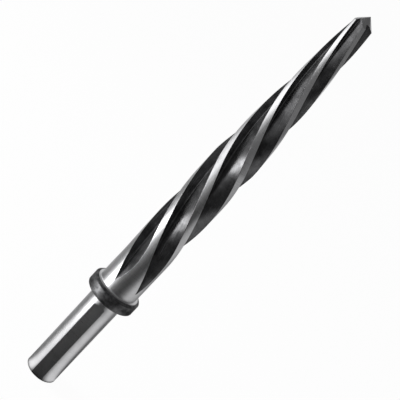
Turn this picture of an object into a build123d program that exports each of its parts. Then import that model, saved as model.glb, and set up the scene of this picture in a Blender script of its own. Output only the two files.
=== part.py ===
from build123d import *
import os
from math import ceil, cos, radians, sin, tan

# Taper reamer with spiral flutes: one bar of hardened steel that stands on the end face of its
# shank, tip up. The axis is +Z and the origin is the centre of the shank's end face.

# Lengths along the axis
shank_length = 41.4
collar_length = 4.8
body_length = 63.4
taper_length = 63.45

# Diameters of the ground blank
shank_diameter = 12.7
collar_diameter = 19.9
body_diameter = 15.9
tip_diameter = 7.75
point_angle = 94.0

# Broken edges of the turned steps
shank_chamfer = 0.4
collar_back_chamfer = 0.2
collar_front_chamfer = 0.3
neck_fillet = 0.5

# Drive flats, milled along the shank for a three-jaw chuck, each with a rounded run-out
flat_count = 3
flat_depth = 0.42
flat_length = 37.5
flat_run_out_radius = 1.2
first_flat_angle = -90.0

# Left-hand spiral flutes: a steep rake wall and a broad, gently bulging back meet in a narrow flat
flute_count = 5
flute_lead = 138.0
flute_phase = 26.0
flute_angle = 52.0
rake_undercut_angle = 3.5
back_bulge_angle = 12.0
flute_depth = 3.4
tip_flute_depth = 1.3
flute_corner_flat = 0.5
flute_start_gap = 4.6
flute_run_out = 23.0

# Spacing of the sections that shape the flute, and how far its cutter passes the steel
section_twist_angle = 20.0
run_out_section_count = 7
cutter_clearance = 1.5
smallest_share = 0.15

collar_back = shank_length
collar_front = collar_back + collar_length
taper_start = collar_front + body_length
tip_corner = taper_start + taper_length
point_length = tip_diameter / 2 / tan(radians(point_angle / 2))
overall_length = tip_corner + point_length
shank_radius = shank_diameter / 2
collar_radius = collar_diameter / 2
body_radius = body_diameter / 2
tip_radius = tip_diameter / 2
flute_start = collar_front + flute_start_gap
flute_full = flute_start + flute_run_out


def along_taper(height):
    """How far a height lies along the taper: 0 up to its start, 1 at the tip corner."""
    return max(0.0, (height - taper_start) / taper_length)


def reaming_radius(height):
    """Radius that the cutting edges reach at a height."""
    return body_radius + (tip_radius - body_radius) * along_taper(height)


def depth_share(height):
    """Share of the full depth that the flute has: the round grinding wheel lifts it near the collar."""
    short_of_full = max(0.0, flute_full - height) / flute_run_out
    return 1.0 - short_of_full**2


def full_depth(height):
    """Depth of the flute past its run-out: it gets shallower towards the tip."""
    return flute_depth + (tip_flute_depth - flute_depth) * along_taper(height)


def polar(radius, angle):
    """Point of a section at a radius and an angle in degrees."""
    return Vector(radius * cos(radians(angle)), radius * sin(radians(angle)))


def evenly(first, last, count):
    """Heights from first up to, but not at, last in equal steps."""
    return [first + (last - first) * step / count for step in range(count)]


def sections_between(first, last):
    """Count of sections that keeps the twist from one to the next small."""
    return ceil((last - first) / flute_lead * 360 / section_twist_angle)


def back_point(corner, chord, along):
    """Point of a flute's back: it rises from its chord towards the rake wall as a parabola would."""
    across = Vector(chord.Y, -chord.X).normalized()
    rise = tan(radians(back_bulge_angle)) * along * (1.0 - along / chord.length)
    return corner + chord.normalized() * along + across * rise


# Cutter of one drive flat: its end rises in an arc to the round shank
with BuildPart() as flat_cutter:
    with BuildSketch(Plane.XZ) as flat_profile:
        with BuildLine():
            Polyline(
                (shank_radius - flat_depth, -cutter_clearance),
                (shank_radius - flat_depth, flat_length + flat_run_out_radius),
                (shank_radius + cutter_clearance, flat_length + flat_run_out_radius),
                (shank_radius + cutter_clearance, -cutter_clearance),
                close=True,
            )
        make_face()
        run_out_corner = flat_profile.vertices().sort_by_distance(
            (shank_radius - flat_depth, flat_length + flat_run_out_radius)
        )[0]
        fillet(run_out_corner, flat_run_out_radius)
    extrude(amount=shank_radius, both=True)

# Cutter of one flute: sections across the axis, turned along the helix. In each, the corner of the
# flute lies at the bottom, the rake wall climbs to the cutting edge and the back to the heel.
section_heights = (
    evenly(flute_start - 2 * cutter_clearance, flute_full, run_out_section_count)
    + evenly(flute_full, taper_start, sections_between(flute_full, taper_start))
    + evenly(taper_start, tip_corner, sections_between(taper_start, tip_corner))
    + [tip_corner, overall_length + cutter_clearance]
)
with BuildPart() as flute_cutter:
    for height in section_heights:
        radius = reaming_radius(height)
        share = max(depth_share(height), smallest_share)
        corner_angle = flute_phase - rake_undercut_angle - height / flute_lead * 360
        corner = polar(radius - full_depth(height) * depth_share(height), corner_angle)
        lowest = polar(radius - full_depth(height) * share, corner_angle)
        edge = polar(radius, corner_angle + rake_undercut_angle * share)
        heel = polar(radius, corner_angle + (rake_undercut_angle + flute_angle) * share)
        wall = edge - lowest
        chord = heel - lowest
        corner_flat = flute_corner_flat * share
        foot_of_wall = corner + wall.normalized() * corner_flat
        past_edge = corner + wall.normalized() * (wall.length + cutter_clearance)
        foot_of_back = back_point(corner, chord, corner_flat)
        mid_back = back_point(corner, chord, chord.length / 2)
        past_heel = back_point(corner, chord, chord.length + cutter_clearance)
        outer_angle = corner_angle + (rake_undercut_angle + flute_angle) * share / 2
        outside = polar(radius + 2 * cutter_clearance, outer_angle)
        with BuildSketch(Plane.XY.offset(height)) as flute_section:
            with BuildLine():
                Polyline(foot_of_back, foot_of_wall, past_edge, outside, past_heel)
                ThreePointArc(past_heel, mid_back, foot_of_back)
            make_face()
    loft()

# The reamer: shank, collar, straight body, taper and point are turned and ground round, then the
# flats are milled and the flutes ground
with BuildPart() as reamer:
    with BuildSketch(Plane.XZ) as half_profile:
        with BuildLine():
            Polyline(
                (0, 0),
                (shank_radius - shank_chamfer, 0),
                (shank_radius, shank_chamfer),
                (shank_radius, collar_back),
                (collar_radius - collar_back_chamfer, collar_back),
                (collar_radius, collar_back + collar_back_chamfer),
                (collar_radius, collar_front - collar_front_chamfer),
                (collar_radius - collar_front_chamfer, collar_front),
                (body_radius, collar_front),
                (body_radius, taper_start),
                (tip_radius, tip_corner),
                (0, overall_length),
                close=True,
            )
        make_face()
        neck_corner = half_profile.vertices().sort_by_distance((body_radius, collar_front))[0]
        fillet(neck_corner, neck_fillet)
    revolve(axis=Axis.Z)
    with PolarLocations(0, flat_count, start_angle=first_flat_angle):
        add(flat_cutter.part, mode=Mode.SUBTRACT)
    with PolarLocations(0, flute_count):
        add(flute_cutter.part, mode=Mode.SUBTRACT)

os.makedirs("parts", exist_ok=True)
reamer.part.label = "reamer"
export_step(reamer.part, "parts/reamer.step")
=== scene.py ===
from math import cos, pi, radians, sin, tan

import bmesh
import bpy
import numpy as np
from mathutils import Matrix, Vector


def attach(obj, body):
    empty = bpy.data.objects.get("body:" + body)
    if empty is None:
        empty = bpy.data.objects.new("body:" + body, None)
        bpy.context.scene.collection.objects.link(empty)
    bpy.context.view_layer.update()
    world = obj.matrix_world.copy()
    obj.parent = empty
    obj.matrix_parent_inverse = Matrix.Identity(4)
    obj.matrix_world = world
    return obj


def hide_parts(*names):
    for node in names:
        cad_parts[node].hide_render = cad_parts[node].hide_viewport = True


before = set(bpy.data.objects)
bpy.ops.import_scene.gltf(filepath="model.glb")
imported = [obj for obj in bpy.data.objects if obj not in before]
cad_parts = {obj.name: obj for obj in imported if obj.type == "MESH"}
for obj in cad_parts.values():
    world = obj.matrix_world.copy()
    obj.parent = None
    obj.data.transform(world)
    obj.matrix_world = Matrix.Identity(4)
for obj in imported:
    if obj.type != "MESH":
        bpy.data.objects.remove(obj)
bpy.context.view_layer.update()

# Reamer: one bar of hardened tool steel that stands on its shank, tip up. It is turned and ground
# round, three drive flats are milled into the shank, and five left-hand spiral flutes are ground, each
# with an undercut rake wall, a rounded corner and a bulging back. Every edge is lightly broken.
MM = 0.001
SHANK_RADIUS = 6.35 * MM
SHANK_CHAMFER = 0.4 * MM
SHANK_FILLET = 0.18 * MM
COLLAR_BACK = 41.4 * MM
COLLAR_FRONT = 46.2 * MM
COLLAR_RADIUS = 9.95 * MM
COLLAR_BACK_CHAMFER = 0.2 * MM
COLLAR_FRONT_CHAMFER = 0.75 * MM
# Width of a ring of the collar's front face, inside its chamfer, that takes the collar's dark steel: a
# painted dark reflection and shade at the front edge
COLLAR_PAINTED_REFLECTION_RING = 0.35 * MM
NECK_FILLET = 0.5 * MM
BODY_RADIUS = 7.95 * MM
TAPER_START = 109.6 * MM
TIP_CORNER = 173.05 * MM
TAPER_LENGTH = TIP_CORNER - TAPER_START
TIP_RADIUS = 3.875 * MM
POINT_HALF_ANGLE = 47.0
POINT_SLOPE = 1 / tan(radians(POINT_HALF_ANGLE))
POINT_LENGTH = TIP_RADIUS * POINT_SLOPE
OVERALL_LENGTH = TIP_CORNER + POINT_LENGTH
BROKEN_EDGE = 0.06 * MM
TIP_BREAK = 0.04 * MM

# Drive flats: the angles of their middles in degrees, and an angle from there that none reaches
FLAT_ANGLES = (-90, 30, 150)
FLAT_DEPTH = 0.42 * MM
FLAT_LENGTH = 37.5 * MM
FLAT_RUN_OUT_RADIUS = 1.2 * MM
FLAT_REACH = 45
FLAT_END_SHARES = (0.08, 0.8)

# Flutes: angles in degrees, and the uneven part of their turn at some heights
FLUTE_COUNT = 5
FLUTE_LEAD = 138.0 * MM
FLUTE_PHASE = 26.0
FLUTE_ANGLE = 52.0
RAKE_UNDERCUT = 3.5
BACK_BULGE = 10.0
FLUTE_DEPTH = 3.4 * MM
TIP_FLUTE_DEPTH = 1.3 * MM
FLUTE_CORNER_RADIUS = 0.5 * MM
FLUTE_START = 50.4 * MM
FLUTE_RUN_OUT = 23.4 * MM
RUN_OUT_POWER = 2.4
SMALLEST_SHARE = 0.15
UNEVEN_HEIGHTS = np.array((48.0, 67.0, 103.0, 118.0, 146.0)) * MM
UNEVEN_TURN = np.array((1.0, 3.0, -2.5, -2.5, 0.6))
KEEN_EDGE = 0.03 * MM
HEEL_BEVEL = 0.05 * MM
TIP_HEEL_BEVEL = 0.01 * MM

# Largest share of a short side that a broken edge and a rounded corner take, and the smallest length
# and radius that are divided by
BREAK_LIMIT = 0.2
ROUNDING_LIMIT = 0.4
SMALLEST_LENGTH = 1e-6 * MM
SMALLEST_RADIUS = 0.01 * TIP_RADIUS

# Spacing of the surface's columns and rows: rows lie closer where the flutes start and end
LAND_COLUMNS = 15
WALL_COLUMNS = 7
CORNER_COLUMNS = 6
BACK_COLUMNS = 18
SECTOR_COLUMNS = LAND_COLUMNS + WALL_COLUMNS + CORNER_COLUMNS + BACK_COLUMNS
ROW_STEP = 0.5 * MM
FLUTE_START_STEPS = np.array((0.0, 0.08, 0.2, 0.35)) * MM
FIRST_SHANK_ROW = 2.0 * MM
FIRST_POINT_ROW = 0.15 * MM
SHANK_ROWS = 18
FLAT_END_ROWS = 10
NECK_ROWS = 12
POINT_ROWS = 10


def unit(vectors):
    """Vectors of length 1 along the last axis: each over the root of its squares' sum."""
    return vectors / np.linalg.norm(vectors, axis=-1, keepdims=True)


def polar(radius, degrees):
    """Points of a section at a radius and an angle: radius times its cosine and sine."""
    angle = np.radians(degrees)
    return np.concatenate((radius * np.cos(angle), radius * np.sin(angle)), axis=-1)


def rounded_profile(corners, steps=3):
    """Half profile through corners of radius, height and rounding: each is replaced by a curve that
    starts and ends at its rounding along its two sides, and whose points are (1 - t) squared times
    the start, 2 t (1 - t) times the corner and t squared times the end."""
    points = [corners[0][:2]]
    for before, (radius, height, rounding), after in zip(corners, corners[1:], corners[2:]):
        corner = np.array((radius, height))
        if rounding == 0:
            points.append(tuple(corner))
            continue
        start = corner + unit(np.array(before[:2]) - corner) * rounding
        end = corner + unit(np.array(after[:2]) - corner) * rounding
        for t in np.linspace(0, 1, steps + 1):
            points.append(tuple((1 - t) ** 2 * start + 2 * t * (1 - t) * corner + t**2 * end))
    points.append(corners[-1][:2])
    return np.array(points)


def signed(degrees):
    """Angles brought between -180 and 180 degrees by whole turns."""
    return (degrees + 180) % 360 - 180


def lifted(points, height):
    """Points of each row's section, at that row's height along the axis."""
    return np.concatenate((points, np.repeat(height[:, None, :], points.shape[1], axis=1)), axis=2)


def flat_distance(height):
    """Distance of a drive flat from the axis. Past the flat's end it rises along the arc of the
    cutter, by its radius less the root of radius squared less the distance past the end squared."""
    past = np.clip(height - FLAT_LENGTH, 0, FLAT_RUN_OUT_RADIUS)
    rise = FLAT_RUN_OUT_RADIUS - np.sqrt(FLAT_RUN_OUT_RADIUS**2 - past**2)
    return SHANK_RADIUS - FLAT_DEPTH + rise


def with_flats(radius, height, angle):
    """Radius at an angle where the flats cut the round shank: the smaller of the round radius and
    the flat's distance over the cosine of the angle from its middle."""
    on_shank = (height < COLLAR_BACK) & (radius <= SHANK_RADIUS)
    cut = radius
    for middle in FLAT_ANGLES:
        off = signed(angle - middle)
        near = np.abs(off) < FLAT_REACH
        plane = flat_distance(height) / np.cos(np.radians(np.where(near, off, 0)))
        cut = np.where(near & on_shank, np.minimum(cut, plane), cut)
    return cut


def along_taper(height):
    """Share of the taper that lies below a height: 0 up to its start, 1 at the tip corner and more
    past it, by the distance from the start over the taper's length."""
    return np.maximum(0, (height - TAPER_START) / TAPER_LENGTH)


def taper_radius(height):
    """Radius of the body, which shrinks evenly along the taper and on through the point."""
    return BODY_RADIUS + (TIP_RADIUS - BODY_RADIUS) * along_taper(height)


def bar_radius(height):
    """Radius of the round bar: the taper's, or in the point the distance to its end over its slope,
    whichever is smaller."""
    return np.maximum(np.minimum(taper_radius(height), (OVERALL_LENGTH - height) / POINT_SLOPE), 0)


def reach(corner, direction, radius):
    """Distance from a corner, along a unit direction, to the circle of a radius: with a the corner's
    part along the direction, the root of a squared less the corner squared plus the radius squared,
    less a."""
    along = np.sum(corner * direction, axis=-1, keepdims=True)
    inside = along**2 - np.sum(corner**2, axis=-1, keepdims=True) + radius**2
    return np.sqrt(np.maximum(inside, 0)) - along


def flute_sides(height):
    """Corner of a flute at each height, unit directions of its rake wall and back, and their lengths
    to the round bar. The share of full depth is one less the run-out power of the part of the run-out
    still to come. The corner is that share of the depth below the taper's radius. The wall leans by
    the undercut angle and the back opens by the flute's angle, both times the share, or times the
    smallest share where that is more."""
    taper = along_taper(height)
    surface = taper_radius(height)
    depth = FLUTE_DEPTH + (TIP_FLUTE_DEPTH - FLUTE_DEPTH) * taper
    still_to_come = np.maximum(0, FLUTE_START + FLUTE_RUN_OUT - height) / FLUTE_RUN_OUT
    share = 1 - still_to_come**RUN_OUT_POWER
    opened = np.maximum(share, SMALLEST_SHARE)
    corner = polar(np.minimum(surface - depth * share, bar_radius(height)), np.zeros_like(height))
    lowest = polar(surface - depth * opened, np.zeros_like(height))
    wall = unit(polar(surface, RAKE_UNDERCUT * opened) - lowest)
    back = unit(polar(surface, (RAKE_UNDERCUT + FLUTE_ANGLE) * opened) - lowest)
    to_edge = reach(corner, wall, bar_radius(height))
    to_heel = np.where(to_edge > 0, reach(corner, back, bar_radius(height)), 0)
    return corner, wall, back, to_edge, to_heel


def flute_breaks(height, to_edge, to_heel):
    """Widths of the cutting edge and of the heel's bevel, which narrows evenly along the taper, each
    at most the break limit times its side."""
    bevel = HEEL_BEVEL + (TIP_HEEL_BEVEL - HEEL_BEVEL) * along_taper(height)
    return np.minimum(KEEN_EDGE, BREAK_LIMIT * to_edge), np.minimum(bevel, BREAK_LIMIT * to_heel)


def spread(first, last, count, ends):
    """Values from first to last along the last axis: even steps between two that lie one small
    step, ends, inside."""
    share = np.linspace(0, 1, count - 2)
    inner = first + ends + (last - first - 2 * ends) * share
    return np.concatenate((first, inner, last), axis=-1)


def flute_points(height):
    """Points of a flute from its cutting edge to its heel. The wall is straight. The corner is a
    curve between points at the corner radius over the tangent of half the flute's opening: (1 - t)
    squared times the first and t squared times the last. The back stands off its chord by the bulge
    angle's tangent, times the distance from the corner, times the share of the chord ahead."""
    corner, wall, back, to_edge, to_heel = flute_sides(height)
    keen, bevel = flute_breaks(height, to_edge, to_heel)
    half_opening = np.arccos(np.sum(wall * back, axis=-1, keepdims=True)) / 2
    shorter = np.minimum(to_edge, to_heel)
    rounding = np.minimum(FLUTE_CORNER_RADIUS / np.tan(half_opening), ROUNDING_LIMIT * shorter)
    down_wall = spread(to_edge - keen, rounding, WALL_COLUMNS, -keen)
    end_step = np.minimum(BROKEN_EDGE, BREAK_LIMIT / 2 * to_heel)
    up_back = spread(rounding, to_heel - bevel, BACK_COLUMNS, end_step)

    wall_points = down_wall[..., None] * wall[:, None, :]
    t = np.linspace(0, 1, CORNER_COLUMNS + 2)[1:-1][None, :, None]
    corner_points = (1 - t) ** 2 * (rounding * wall)[:, None, :] + t**2 * (rounding * back)[:, None, :]
    across = np.stack((back[:, 1], -back[:, 0]), axis=-1)
    ahead = (to_heel - up_back) / np.maximum(to_heel, SMALLEST_LENGTH)
    bulge = tan(radians(BACK_BULGE)) * up_back * ahead
    back_points = up_back[..., None] * back[:, None, :] + bulge[..., None] * across[:, None, :]
    return np.concatenate((wall_points, corner_points, back_points), axis=1) + corner[:, None, :]


def land_points(height):
    """Points of a land, from the heel of one flute to the cutting edge of the next: an arc of the
    round bar, drawn in at both ends by the widths of their breaks over the radius."""
    corner, wall, back, to_edge, to_heel = flute_sides(height)
    keen, bevel = flute_breaks(height, to_edge, to_heel)
    radius = bar_radius(height)
    edge = corner + to_edge * wall
    heel = corner + to_heel * back
    edge_angle = np.degrees(np.arctan2(edge[:, 1:], edge[:, :1]))
    heel_angle = np.degrees(np.arctan2(heel[:, 1:], heel[:, :1])) - 360 / FLUTE_COUNT
    per_length = np.degrees(1 / np.maximum(radius, SMALLEST_RADIUS))
    first = heel_angle + bevel * per_length
    last = edge_angle - keen * per_length
    angle = spread(first, last, LAND_COLUMNS, keen * per_length)
    return polar(np.repeat(radius[:, None, :], LAND_COLUMNS, axis=1), angle[..., None])


def uneven_turn(height):
    """Degrees by which the ground spiral runs ahead of an even one: from one chosen height to the
    next by 3 s squared less 2 s cubed, s the share of the way, and constant past the last."""
    n = np.clip(np.searchsorted(UNEVEN_HEIGHTS, height) - 1, 0, len(UNEVEN_HEIGHTS) - 2)
    share = np.clip((height - UNEVEN_HEIGHTS[n]) / (UNEVEN_HEIGHTS[n + 1] - UNEVEN_HEIGHTS[n]), 0, 1)
    return UNEVEN_TURN[n] + (UNEVEN_TURN[n + 1] - UNEVEN_TURN[n]) * share**2 * (3 - 2 * share)


def turned(points, degrees):
    """Points of each row turned about the axis by that row's angle: x cosine less y sine, and x sine
    plus y cosine."""
    cosine, sine = np.cos(np.radians(degrees)), np.sin(np.radians(degrees))
    x, y = points[..., 0], points[..., 1]
    return np.stack((x * cosine - y * sine, x * sine + y * cosine), axis=-1)


def fluted_rows(height):
    """Rings of the fluted bar at a column of heights: one land and one flute, repeated round the
    axis. All turn against the height by 360 degrees in one lead, and by the uneven turn."""
    sector = np.concatenate((land_points(height), flute_points(height)), axis=1)
    twist = FLUTE_PHASE - RAKE_UNDERCUT - height / FLUTE_LEAD * 360 - uneven_turn(height)
    sectors = [turned(sector, twist + 360 / FLUTE_COUNT * n) for n in range(FLUTE_COUNT)]
    return lifted(np.concatenate(sectors, axis=1), height)


def round_rows(profile, top_angle):
    """Rings of the plain bar below the flutes. Its columns are spread evenly round the axis, apart
    from those moved to the flats' edges. Between the collar and the flutes' start they move over to
    the angles of the ring above, by the share of the way."""
    from_middle = np.arange(top_angle.size) - (top_angle.size - 1) / 2
    even_angle = top_angle.mean() + 360 / top_angle.size * from_middle
    half_width = np.degrees(np.arccos(1 - FLAT_DEPTH / SHANK_RADIUS))
    for middle in FLAT_ANGLES:
        for side in (middle - half_width, middle + half_width):
            off = signed(even_angle - side)
            nearest = np.abs(off).argmin()
            even_angle[nearest] -= off[nearest]
    radius, height = profile[:, :1], profile[:, 1:]
    gather = np.clip((height - COLLAR_FRONT) / (FLUTE_START - COLLAR_FRONT), 0, 1)
    angle = even_angle + (top_angle - even_angle) * gather
    return lifted(polar(with_flats(radius, height, angle)[..., None], angle[..., None]), height)


def ring_faces(ring_count, column_count):
    """Row and column of each face between rings of points, and its corners: a point's number is its
    row times the columns plus its column, and the last column is followed by the first."""
    row, column = np.meshgrid(np.arange(ring_count - 1), np.arange(column_count), indexing="ij")
    following = (column + 1) % column_count
    lower, upper = row * column_count, (row + 1) * column_count
    corners = np.stack((lower + column, lower + following, upper + following, upper + column), axis=-1)
    return row, column, corners.reshape(-1, 4)


# Fluted bar, up to the point. Its flutes end where their corner meets the point's cone: past the tip
# corner by the depth there, over the cone's slope less the taper's plus the depth's own.
cone_slope = 1 / POINT_SLOPE
taper_slope = (BODY_RADIUS - TIP_RADIUS) / TAPER_LENGTH
depth_slope = (FLUTE_DEPTH - TIP_FLUTE_DEPTH) / TAPER_LENGTH
flute_end = TIP_FLUTE_DEPTH / (cone_slope - taper_slope + depth_slope)
body_heights = np.arange(FLUTE_START + ROW_STEP, TIP_CORNER - 2 * TIP_BREAK, ROW_STEP)
point_heights = np.concatenate(
    (
        (-TIP_BREAK, TIP_BREAK),
        np.linspace(FIRST_POINT_ROW, flute_end, POINT_ROWS),
        np.linspace(flute_end, POINT_LENGTH, POINT_ROWS)[1:],
    )
)
heights = np.concatenate((FLUTE_START + FLUTE_START_STEPS, body_heights, TIP_CORNER + point_heights))
upper_rows = fluted_rows(heights[:, None])

# Plain bar, from the middle of the shank's end to the flutes' start. Some rows follow the arc at the
# flats' ends up to where it leaves the shank, at shares of its radius.
# Inner edge of the painted dark reflection and shade ring on the collar's front face
painted_reflection_inner_radius = COLLAR_RADIUS - COLLAR_FRONT_CHAMFER - COLLAR_PAINTED_REFLECTION_RING
shank_heights = np.linspace(FIRST_SHANK_ROW, FLAT_LENGTH, SHANK_ROWS)
flat_end_heights = FLAT_LENGTH + FLAT_RUN_OUT_RADIUS * np.linspace(*FLAT_END_SHARES, FLAT_END_ROWS)
neck_heights = np.linspace(COLLAR_FRONT + 2 * NECK_FILLET, FLUTE_START, NECK_ROWS)
bar_corners = [
    (0.0, 0.0, 0.0),
    (SHANK_RADIUS - SHANK_CHAMFER, 0.0, BROKEN_EDGE),
    (SHANK_RADIUS, SHANK_CHAMFER, BROKEN_EDGE),
    *[(SHANK_RADIUS, height, 0.0) for height in shank_heights],
    *[(SHANK_RADIUS, height, 0.0) for height in flat_end_heights],
    (SHANK_RADIUS, COLLAR_BACK, SHANK_FILLET),
    (COLLAR_RADIUS - COLLAR_BACK_CHAMFER, COLLAR_BACK, BROKEN_EDGE),
    (COLLAR_RADIUS, COLLAR_BACK + COLLAR_BACK_CHAMFER, BROKEN_EDGE),
    (COLLAR_RADIUS, COLLAR_FRONT - COLLAR_FRONT_CHAMFER, BROKEN_EDGE),
    (COLLAR_RADIUS - COLLAR_FRONT_CHAMFER, COLLAR_FRONT, BROKEN_EDGE),
    (painted_reflection_inner_radius, COLLAR_FRONT, 0.0),
    (BODY_RADIUS, COLLAR_FRONT, NECK_FILLET),
    *[(BODY_RADIUS, height, 0.0) for height in neck_heights],
]
start_ring = upper_rows[0]
start_angles = np.degrees(np.unwrap(np.arctan2(start_ring[:, 1], start_ring[:, 0])))
lower_rows = round_rows(rounded_profile(bar_corners)[:-1], start_angles)
rows = np.concatenate((lower_rows, upper_rows))
row, column, quads = ring_faces(*rows.shape[:2])

# Where each finish lies: 0 on ground steel, 1 in the flutes, 2 on the collar and on the ring of its front
# face that is painted dark as a reflection and shade
RADIUS_MARGIN = 0.01 * MM
in_flute = (column % SECTOR_COLUMNS >= LAND_COLUMNS - 1) & (row >= len(lower_rows))
# Faces past the inner edge of the painted dark ring take the collar's dark steel, so the ring is painted
# reflection and shade
beyond_painted_ring_inner_edge = np.hypot(rows[:, 0, 0], rows[:, 0, 1]) > painted_reflection_inner_radius - RADIUS_MARGIN
on_collar_and_painted_ring = beyond_painted_ring_inner_edge[row] & beyond_painted_ring_inner_edge[row + 1]
finish = np.where(in_flute, 1, np.where(on_collar_and_painted_ring, 2, 0)).ravel()

# Unrolled map in centimetres: along the axis by height, and round it by the spacing of the columns
# on a ring of the body
CENTIMETRES = 100
body_ring = upper_rows[len(upper_rows) // 3]
spacing = np.linalg.norm(np.roll(body_ring, -1, axis=0) - body_ring, axis=-1)
around = np.concatenate(((0.0,), np.cumsum(spacing))) * CENTIMETRES
upward = rows[:, 0, 2] * CENTIMETRES
map_u = np.stack((around[column], around[column + 1], around[column + 1], around[column]), axis=-1)
map_v = np.stack((upward[row], upward[row], upward[row + 1], upward[row + 1]), axis=-1)

# The surface closes at the middle of the shank's end and at the point, where a ring is one point
MERGE_DISTANCE = 0.0001 * MM
reamer_mesh = bpy.data.meshes.new("reamer_surface")
reamer_mesh.from_pydata(rows.reshape(-1, 3), [], quads)
unrolled = reamer_mesh.uv_layers.new(name="unrolled")
unrolled.data.foreach_set("uv", np.stack((map_u, map_v), axis=-1).astype(np.float32).ravel())
reamer_mesh.polygons.foreach_set("material_index", finish.astype(np.int32))
reamer_mesh.polygons.foreach_set("use_smooth", np.ones(len(quads), bool))
closed = bmesh.new()
closed.from_mesh(reamer_mesh)
bmesh.ops.remove_doubles(closed, verts=closed.verts, dist=MERGE_DISTANCE)
closed.to_mesh(reamer_mesh)
closed.free()

# Steels: clouds are the uneven colour of the bar, and marks the fine lines that grinding leaves. Both
# are noises with most values between the low and the high one, and the marks add about half their share
NOISE_LOW, NOISE_HIGH = 0.3, 0.7
LEAST_ADDED, MOST_ADDED = 0.45, 0.55
CLOUD_DETAIL = 6.0
CLOUD_ROUGHNESS = 0.62
MARKS_DETAIL = 4.0
MARKS_STRENGTH = 0.3
MARKS_DEPTH = 0.01 * MM
RINGS_ROUND_BAR = (60.0, 60.0, 9000.0)
LINES_ALONG_FLUTE = (45.0, 0.8, 1.0)


def steel(
    name, dark, light, cloud_size, waviness,
    marks_on, marks_scale, marks_share, roughness, metallic, grazing,
):
    """Steel of colour dark + (light - dark) * f, with f a soft step of the clouds plus the marks
    times their share. The marks vary the roughness between its two values. The clouds times the
    waviness, as a height, bend the normal, and the marks times their depth bend it further."""
    material = bpy.data.materials.new(name)
    material.use_nodes = True
    nodes, links = material.node_tree.nodes, material.node_tree.links
    shader = nodes["Principled BSDF"]
    shader.inputs["Metallic"].default_value = metallic
    shader.inputs["Specular Tint"].default_value = (grazing, grazing, grazing, 1)

    place = nodes.new("ShaderNodeTexCoord")
    clouds = nodes.new("ShaderNodeTexNoise")
    clouds.inputs["Scale"].default_value = 1 / cloud_size
    clouds.inputs["Detail"].default_value = CLOUD_DETAIL
    clouds.inputs["Roughness"].default_value = CLOUD_ROUGHNESS
    links.new(place.outputs["Object"], clouds.inputs["Vector"])

    stretch = nodes.new("ShaderNodeMapping")
    stretch.inputs["Scale"].default_value = marks_scale
    links.new(place.outputs[marks_on], stretch.inputs["Vector"])
    marks = nodes.new("ShaderNodeTexNoise")
    marks.inputs["Scale"].default_value = 1.0
    marks.inputs["Detail"].default_value = MARKS_DETAIL
    links.new(stretch.outputs[0], marks.inputs["Vector"])

    both = nodes.new("ShaderNodeMath")
    both.operation = "MULTIPLY_ADD"
    both.inputs[1].default_value = marks_share
    links.new(marks.outputs["Fac"], both.inputs[0])
    links.new(clouds.outputs["Fac"], both.inputs[2])
    step = nodes.new("ShaderNodeMapRange")
    step.interpolation_type = "SMOOTHSTEP"
    step.inputs["From Min"].default_value = NOISE_LOW + LEAST_ADDED * marks_share
    step.inputs["From Max"].default_value = NOISE_HIGH + MOST_ADDED * marks_share
    links.new(both.outputs[0], step.inputs["Value"])
    colour = nodes.new("ShaderNodeMix")
    colour.data_type = "RGBA"
    colour.inputs["A"].default_value = (*dark, 1)
    colour.inputs["B"].default_value = (*light, 1)
    links.new(step.outputs[0], colour.inputs["Factor"])
    links.new(colour.outputs["Result"], shader.inputs["Base Color"])

    rough = nodes.new("ShaderNodeMapRange")
    rough.inputs["From Min"].default_value = NOISE_LOW
    rough.inputs["From Max"].default_value = NOISE_HIGH
    rough.inputs["To Min"].default_value = roughness[0]
    rough.inputs["To Max"].default_value = roughness[1]
    links.new(marks.outputs["Fac"], rough.inputs["Value"])
    links.new(rough.outputs[0], shader.inputs["Roughness"])

    waves = nodes.new("ShaderNodeBump")
    waves.inputs["Distance"].default_value = waviness
    links.new(clouds.outputs["Fac"], waves.inputs["Height"])
    grooves = nodes.new("ShaderNodeBump")
    grooves.inputs["Strength"].default_value = MARKS_STRENGTH * marks_share
    grooves.inputs["Distance"].default_value = MARKS_DEPTH
    links.new(marks.outputs["Fac"], grooves.inputs["Height"])
    links.new(waves.outputs[0], grooves.inputs["Normal"])
    links.new(grooves.outputs[0], shader.inputs["Normal"])
    return material


# Bright ground steel of the shank, the body, the lands and the point, with fine rings round the bar
ground_steel = steel(
    "ground_steel",
    dark=(0.6, 0.6, 0.61),
    light=(0.71, 0.71, 0.72),
    cloud_size=9 * MM,
    waviness=0.006 * MM,
    marks_on="Object",
    marks_scale=RINGS_ROUND_BAR,
    marks_share=0.12,
    roughness=(0.27, 0.33),
    metallic=1.0,
    grazing=1.0,
)

# Dull dark steel of the flutes, with grinding lines that follow the spiral
flute_steel = steel(
    "flute_steel",
    dark=(0.066, 0.066, 0.068),
    light=(0.19, 0.19, 0.195),
    cloud_size=5 * MM,
    waviness=0.03 * MM,
    marks_on="UV",
    marks_scale=LINES_ALONG_FLUTE,
    marks_share=0.4,
    roughness=(0.15, 0.28),
    metallic=0.75,
    grazing=0.4,
)

# Dark steel of the collar, tinted by heat, with rings round it. It also covers the ring on the collar's
# front face that is painted dark as a reflection and shade.
collar_steel = steel(
    "collar_steel",
    dark=(0.03, 0.03, 0.031),
    light=(0.2, 0.2, 0.205),
    cloud_size=2.5 * MM,
    waviness=0.012 * MM,
    marks_on="Object",
    marks_scale=RINGS_ROUND_BAR,
    marks_share=0.3,
    roughness=(0.28, 0.42),
    metallic=0.85,
    grazing=0.5,
)

for material in (ground_steel, flute_steel, collar_steel):
    reamer_mesh.materials.append(material)
reamer = bpy.data.objects.new("spiral_reamer", reamer_mesh)
bpy.context.scene.collection.objects.link(reamer)
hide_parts("reamer")
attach(reamer, "root")

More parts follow.
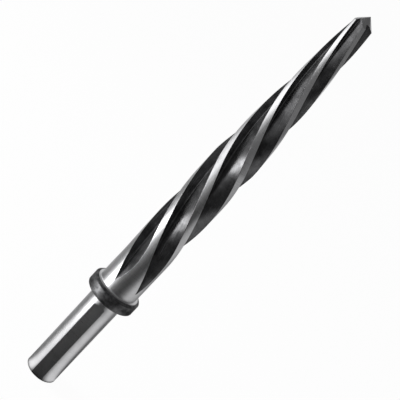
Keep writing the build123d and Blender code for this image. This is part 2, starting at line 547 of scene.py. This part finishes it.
# Studio floor: a wide round sheet of pale paper that the tool stands on. It glows plain white where it
# is seen, with a small share of its own shading left, so that the tool's shadow stays on it.
FLOOR_RADIUS = 6.0
FLOOR_SIDES = 72
PAPER_COLOUR = (0.85, 0.85, 0.85, 1)
PAPER_ROUGHNESS = 0.9
WHITE_SHARE = 0.97


def seen_or_mirrored(nodes, links):
    """1 for rays from the camera, mirrored off gloss or passed through glass, otherwise 0: the
    largest of the three."""
    path = nodes.new("ShaderNodeLightPath")
    seen = path.outputs["Is Camera Ray"]
    for rays in ("Is Glossy Ray", "Is Transmission Ray"):
        larger = nodes.new("ShaderNodeMath")
        larger.operation = "MAXIMUM"
        links.new(seen, larger.inputs[0])
        links.new(path.outputs[rays], larger.inputs[1])
        seen = larger.outputs[0]
    return seen


def white_paper():
    """Pale matt paper of which the white share, where it is seen, glows plain white."""
    paper = bpy.data.materials.new("white_floor")
    paper.use_nodes = True
    nodes, links = paper.node_tree.nodes, paper.node_tree.links
    matt = nodes["Principled BSDF"]
    matt.inputs["Base Color"].default_value = PAPER_COLOUR
    matt.inputs["Roughness"].default_value = PAPER_ROUGHNESS
    white = nodes.new("ShaderNodeEmission")
    white.inputs["Strength"].default_value = 1.0
    share = nodes.new("ShaderNodeMath")
    share.operation = "MULTIPLY"
    share.inputs[1].default_value = WHITE_SHARE
    links.new(seen_or_mirrored(nodes, links), share.inputs[0])
    mix = nodes.new("ShaderNodeMixShader")
    links.new(share.outputs[0], mix.inputs["Fac"])
    links.new(matt.outputs[0], mix.inputs[1])
    links.new(white.outputs[0], mix.inputs[2])
    links.new(mix.outputs[0], nodes["Material Output"].inputs["Surface"])
    return paper


floor_angles = np.arange(FLOOR_SIDES)[:, None] * 360 / FLOOR_SIDES
floor_rim = polar(np.full((FLOOR_SIDES, 1), FLOOR_RADIUS), floor_angles)
floor_points = np.concatenate((floor_rim, np.zeros((FLOOR_SIDES, 1))), axis=1)
floor_mesh = bpy.data.meshes.new("floor")
floor_mesh.from_pydata(floor_points, [], [list(range(FLOOR_SIDES))])
floor_mesh.materials.append(white_paper())
floor = bpy.data.objects.new("floor", floor_mesh)
bpy.context.scene.collection.objects.link(floor)

# Reflector tent: a dark paper surround that lies on the floor round the tool, stands up at its far edge
# and closes overhead. It is seen only in gloss. Steel mirrors what stands round it, so soft-edged pale
# cards on the tent give it its bright and grey bands, and the dark paper between them its black ones.
TENT_NEAR = 6 * MM
TENT_FAR = 1.2
TENT_TOP = 1.2
TENT_LIFT = 0.02 * MM
WALL_FOOT = 0.05
TENT_SHADE = 0.03
ROOF_SHADE = 0.11
SHEET_ROWS = 60
WALL_ROWS = 20
COLUMN_ANGLE = 3

# Where the sheet turns dark under the tool, in millimetres from the axis, and how gradually it and the
# ends of a card do so, as a natural logarithm of the distance
FOOT_SHADOW = 7.2
FOOT_SHADOW_FADE = 0.05
CARD_FADE = 0.4

# Middle and width in degrees from the camera's direction towards -X, width of the soft edges, nearest
# and farthest edge from the axis in millimetres, and brightness
CARDS = {
    "right panel": (-72, 61, 38, 1, 95, 0.78),
    "right wall": (-94, 70, 30, 95, 410, 0.54),
    "left strip": (57, 48, 34, 1, 187, 1.25),
    "far strip": (58, 58, 45, 187, 9000, 0.75),
    "lamp": (57, 24, 10, 95, 220, 6.5),
    "left wall": (80, 70, 40, 520, 9000, 0.9),
    "front ramp": (19, 43, 48, 170, 340, 0.44),
    "back panel": (180, 90, 40, 1, 9000, 0.3),
    "left back panel": (125, 80, 30, 1, 9000, 0.2),
    "horizon": (0, 720, 40, 536, 9000, 0.15),
    "backdrop": (-172, 76, 40, 700, 9000, 0.4),
}


def soft_step(values):
    """0 below 0, 1 above 1, and 3 v squared less 2 v cubed between."""
    v = np.clip(values, 0, 1)
    return v * v * (3 - 2 * v)


def card_glow(card, direction, distance):
    """Brightness that a card adds to the tent: its own, times a soft step across its sides and one
    along each end, where distances are natural logarithms of millimetres."""
    middle, width, edge, near, far, brightness = card
    off = np.abs(signed(direction - middle))
    across = soft_step((width / 2 - off) / edge + 0.5)
    past_near = soft_step((distance - np.log(near)) / CARD_FADE + 0.5)
    before_far = soft_step((np.log(far) - distance) / CARD_FADE + 0.5)
    return brightness * across * (past_near * before_far)


def tent_paper():
    """Paper that glows by the shade painted on it."""
    paper = bpy.data.materials.new("tent_paper")
    paper.use_nodes = True
    nodes, links = paper.node_tree.nodes, paper.node_tree.links
    nodes.clear()
    painted = nodes.new("ShaderNodeAttribute")
    painted.attribute_name = "shade"
    light = nodes.new("ShaderNodeEmission")
    links.new(painted.outputs["Fac"], light.inputs["Strength"])
    links.new(light.outputs[0], nodes.new("ShaderNodeOutputMaterial").inputs["Surface"])
    return paper


# Rings of the tent: an equal ratio apart on the floor, and equal steps apart on the wall and the roof
even_share = np.linspace(0, 1, SHEET_ROWS)
sheet_radius = TENT_NEAR * (TENT_FAR / TENT_NEAR) ** even_share
tent_radius = np.concatenate((sheet_radius, np.full(WALL_ROWS, TENT_FAR), TENT_FAR * (1 - even_share)))
wall_height = np.linspace(WALL_FOOT, TENT_TOP, WALL_ROWS)
tent_height = np.concatenate((np.full(SHEET_ROWS, TENT_LIFT), wall_height, np.full(SHEET_ROWS, TENT_TOP)))
roof_share = np.concatenate((np.zeros(SHEET_ROWS), np.linspace(0, 1, WALL_ROWS) ** 2, np.ones(SHEET_ROWS)))

# Shade of the tent: the cards' light on floor and wall, which fades up the wall into the roof's own
direction = np.arange(-180, 180, COLUMN_ANGLE)[None, :]
card_radius = np.concatenate((sheet_radius, np.full(WALL_ROWS + SHEET_ROWS, TENT_FAR)))
distance = np.log(card_radius / MM)[:, None]
glow = TENT_SHADE + sum(card_glow(card, direction, distance) for card in CARDS.values())
glow = glow * (1 - roof_share[:, None]) + ROOF_SHADE * roof_share[:, None]
glow *= soft_step((distance - np.log(FOOT_SHADOW)) / FOOT_SHADOW_FADE + 0.5)

# Directions are counted from the camera's side, which is -90 degrees, clockwise seen from above
tent_rings = polar(tent_radius[:, None, None], -90 - direction[..., None])
tent_points = lifted(tent_rings, tent_height[:, None])
tent_faces = ring_faces(*glow.shape)[2]
tent_mesh = bpy.data.meshes.new("tent")
tent_mesh.from_pydata(tent_points.reshape(-1, 3), [], tent_faces)
shade = tent_mesh.attributes.new("shade", "FLOAT", "POINT")
shade.data.foreach_set("value", glow.ravel().astype(np.float32))
tent_mesh.materials.append(tent_paper())
tent = bpy.data.objects.new("tent", tent_mesh)
bpy.context.scene.collection.objects.link(tent)
for rays in ("camera", "diffuse", "shadow", "transmission", "volume_scatter"):
    setattr(tent, "visible_" + rays, False)

# Soft lamp: a large square light to the left and higher than the tip, turned to the tool's middle. It
# brings out the dull dark steel in the flutes and isn't seen in gloss.
SIDE_LAMP_WATTS = 5.2
SIDE_LAMP_SIZE = 0.3
SIDE_LAMP_DISTANCE = 0.6
SIDE_LAMP_DIRECTION = radians(85)
SIDE_LAMP_RISE = 0.35
SIDE_LAMP_AIM = Vector((0, 0, 90 * MM))
lamp_data = bpy.data.lights.new("side_lamp", "AREA")
lamp_data.size = SIDE_LAMP_SIZE
lamp_data.energy = SIDE_LAMP_WATTS
lamp = bpy.data.objects.new("side_lamp", lamp_data)
bpy.context.scene.collection.objects.link(lamp)
toward = Vector((-sin(SIDE_LAMP_DIRECTION), -cos(SIDE_LAMP_DIRECTION), SIDE_LAMP_RISE)).normalized()
facing = toward.to_track_quat("Z", "Y").to_matrix().to_4x4()
lamp.matrix_world = Matrix.Translation(SIDE_LAMP_AIM + toward * SIDE_LAMP_DISTANCE) @ facing
lamp.visible_glossy = False
lamp.visible_camera = False

# Room: even white light from all round. It is plain white where it is seen, and much weaker where it
# lights the tool and the floor.
ROOM_LIGHT = 0.15
room = bpy.data.worlds.new("room")
bpy.context.scene.world = room
room.use_nodes = True
nodes, links = room.node_tree.nodes, room.node_tree.links
weak = nodes["Background"]
weak.inputs["Color"].default_value = (1, 1, 1, 1)
weak.inputs["Strength"].default_value = ROOM_LIGHT
plain_white = nodes.new("ShaderNodeBackground")
plain_white.inputs["Color"].default_value = (1, 1, 1, 1)
plain_white.inputs["Strength"].default_value = 1.0
mix = nodes.new("ShaderNodeMixShader")
links.new(seen_or_mirrored(nodes, links), mix.inputs["Fac"])
links.new(weak.outputs[0], mix.inputs[1])
links.new(plain_white.outputs[0], mix.inputs[2])
links.new(mix.outputs[0], nodes["World Output"].inputs["Surface"])

# Camera: in front of the tool and above its tip, looking down, and rolled so that the tool lies
# across the picture from its lower left to its upper right
CAMERA_DISTANCE = 404.3 * MM
CAMERA_TILT = radians(18.23)
CAMERA_ROLL = radians(43.04)
CAMERA_AIM = Vector((0.053 * MM, 0, 91.17 * MM))
CAMERA_NEAREST = 10 * MM
LENS_MM = 104.8
camera_data = bpy.data.cameras.new("camera")
camera_data.lens = LENS_MM
camera_data.clip_start = CAMERA_NEAREST
camera = bpy.data.objects.new("camera", camera_data)
bpy.context.scene.collection.objects.link(camera)
camera_place = CAMERA_AIM + CAMERA_DISTANCE * Vector((0, -cos(CAMERA_TILT), sin(CAMERA_TILT)))
looking_down = Matrix.Rotation(pi / 2 - CAMERA_TILT, 4, "X")
camera.matrix_world = Matrix.Translation(camera_place) @ looking_down @ Matrix.Rotation(CAMERA_ROLL, 4, "Z")
bpy.context.scene.camera = camera
bpy.context.scene.view_settings.view_transform = "Standard"
